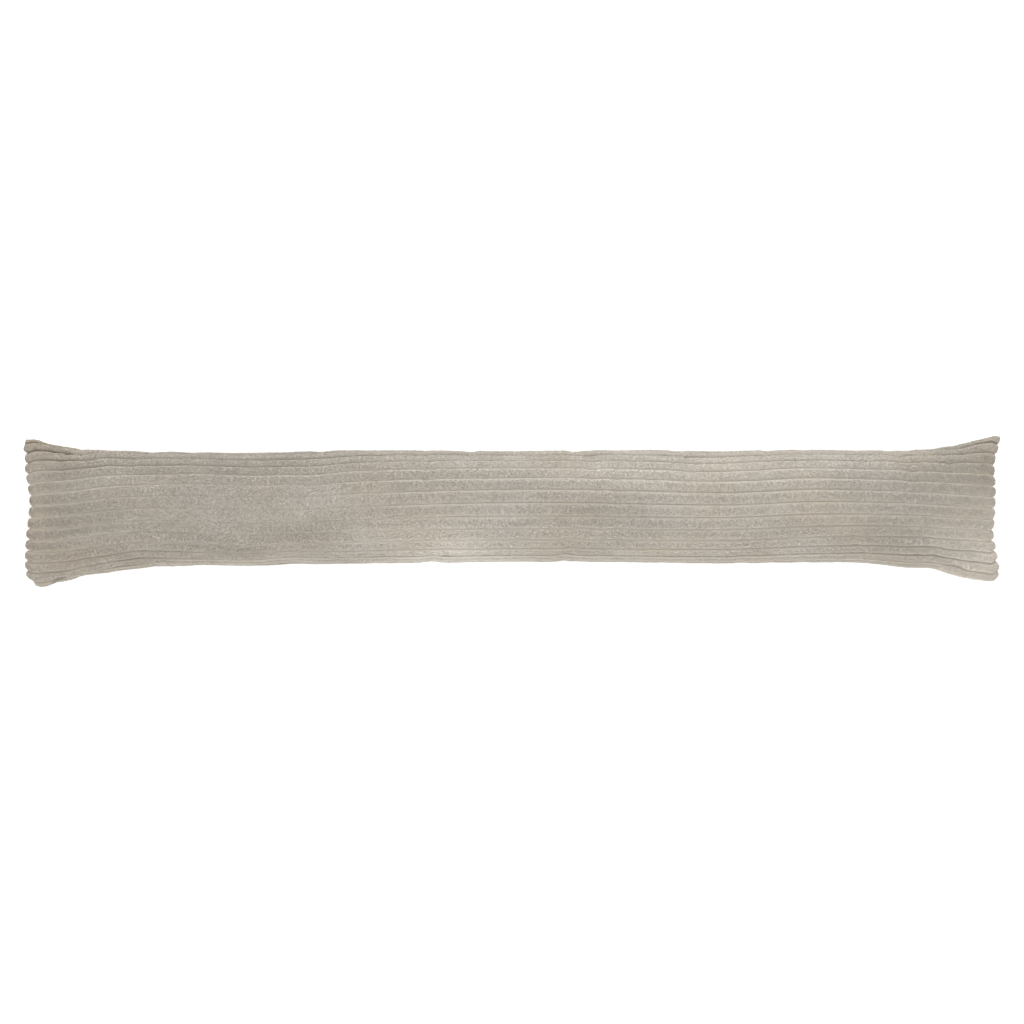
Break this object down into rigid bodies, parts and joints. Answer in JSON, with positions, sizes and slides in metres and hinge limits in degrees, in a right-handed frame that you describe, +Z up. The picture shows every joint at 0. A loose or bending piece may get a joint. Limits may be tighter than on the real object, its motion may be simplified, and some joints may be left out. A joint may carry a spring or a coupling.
{
  "type": "draught excluder",
  "caption": "Long filled draught excluder cushion of ribbed plush, with ribs along its length and flat, slightly flared sewn ends, lying on the floor.",
  "frame": {"origin": "on the floor, under the middle of the cushion's length and width", "axes": "+X along the cushion, +Y across it, +Z up from the floor, with the front panel facing up"},
  "size_m": [0.9, 0.138, 0.0941],
  "materials": {
    "ribbed_plush": "matt short pile in wide ribs"
  },
  "bodies": {
    "root": {"cushion": "ribbed_plush"}
  },
  "joints": []
}
